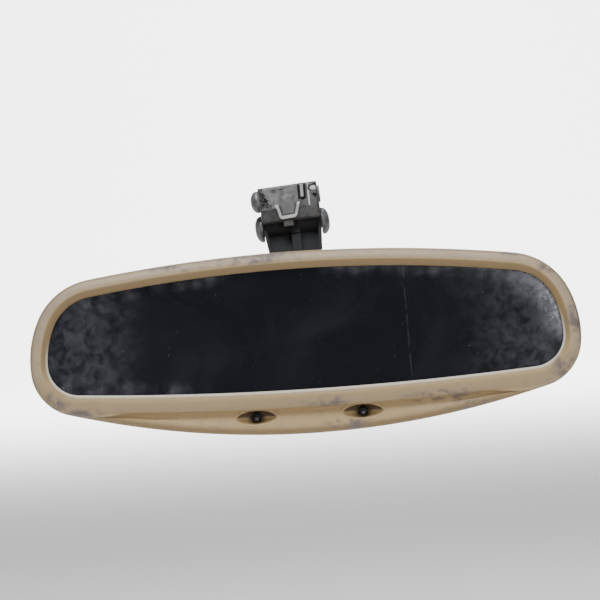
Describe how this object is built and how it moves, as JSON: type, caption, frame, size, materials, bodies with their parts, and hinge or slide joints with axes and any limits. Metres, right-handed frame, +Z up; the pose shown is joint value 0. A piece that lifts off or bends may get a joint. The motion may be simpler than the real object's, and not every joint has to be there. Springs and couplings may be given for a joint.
{
  "type": "interior rearview mirror",
  "caption": "Interior rearview mirror with self-dimming glass, console lamps in the chin of its case, a ball joint and a cast stay that hangs from a windscreen shoe.",
  "frame": {"origin": "middle of the land above the button slot, on the shoe's windscreen face", "axes": "+X to the right as the driver sees the mirror, +Y forwards to the windscreen, +Z up; the glass faces -Y"},
  "size_m": [0.2554, 0.0828, 0.1164],
  "materials": {
    "cast_metal": "die cast, worn",
    "clip_steel": "spring steel, worn plating",
    "dark_steel": "blackened",
    "stay_black": "satin black",
    "bright_steel": "plated",
    "seat_plastic": "natural",
    "case_plastic": "fine-grained beige",
    "black_plastic": "black",
    "black_rubber": "matte",
    "cover_glass": "polished",
    "gel": "clear gel",
    "mirror_glass": "silvered",
    "copper": "bright",
    "foam": "closed-cell foam",
    "board_green": "solder mask",
    "sensor": "dark clear",
    "lamp_clear": "clear lens",
    "contact_gold": "plated"
  },
  "bodies": {
    "shoe": {"shoe_body": "cast_metal", "retaining_clip": "clip_steel", "clamp_screw": "dark_steel", "pivot_pin": "bright_steel", "pivot_cap_left": "dark_steel", "pivot_cap_right": "dark_steel", "friction_washers": "seat_plastic"},
    "stay": {"stay_arm": "stay_black", "ball_stud": "bright_steel", "stud_washer": "bright_steel", "stud_nut": "bright_steel"},
    "seat": {"ball_seat_ring": "seat_plastic"},
    "cup": {"pressure_cup": "seat_plastic"},
    "head": {"bezel": "case_plastic", "glazing_seal": "black_rubber", "front_glass": "cover_glass", "dimming_gel": "gel", "cell_edge_seal": "black_rubber", "mirror_plate": "mirror_glass", "bus_clip_top": "copper", "bus_clip_bottom": "copper", "foam_pad": "foam", "carrier_plate": "black_plastic", "carrier_screws": "bright_steel", "socket_housing": "cast_metal", "socket_spring": "bright_steel", "socket_screws": "bright_steel", "circuit_board": "board_green", "control_chip": "black_plastic", "board_capacitors": "sensor", "board_screws": "bright_steel", "glare_sensor": "sensor", "sky_sensor": "sensor", "sky_sensor_window": "sensor", "plug_socket": "black_plastic", "plug_pins": "contact_gold", "lamp_board": "board_green", "lamp_left": "lamp_clear", "lamp_right": "lamp_clear", "lamp_sleeve_left": "black_rubber", "lamp_sleeve_right": "black_rubber", "rear_case": "case_plastic", "neck_grommet": "black_rubber"}
  },
  "joints": [
    {"name": "stay_swing", "type": "hinge", "parent": "shoe", "child": "stay", "pos_m": [0.00142, -0.00137, -0.01798], "axis": [0.9969, 0, 0.0785], "range_deg": [-20, 20]},
    {"name": "mirror_yaw", "type": "hinge", "parent": "stay", "child": "seat", "pos_m": [0.00484, -0.04137, -0.06144], "axis": [0, 0, 1], "range_deg": [-20, 20]},
    {"name": "mirror_tilt", "type": "hinge", "parent": "seat", "child": "cup", "pos_m": [0.00484, -0.04137, -0.06144], "axis": [1, 0, 0], "range_deg": [-14, 14]},
    {"name": "mirror_roll", "type": "hinge", "parent": "cup", "child": "head", "pos_m": [0.00484, -0.04137, -0.06144], "axis": [0, 1, 0], "range_deg": [-10, 10]}
  ]
}
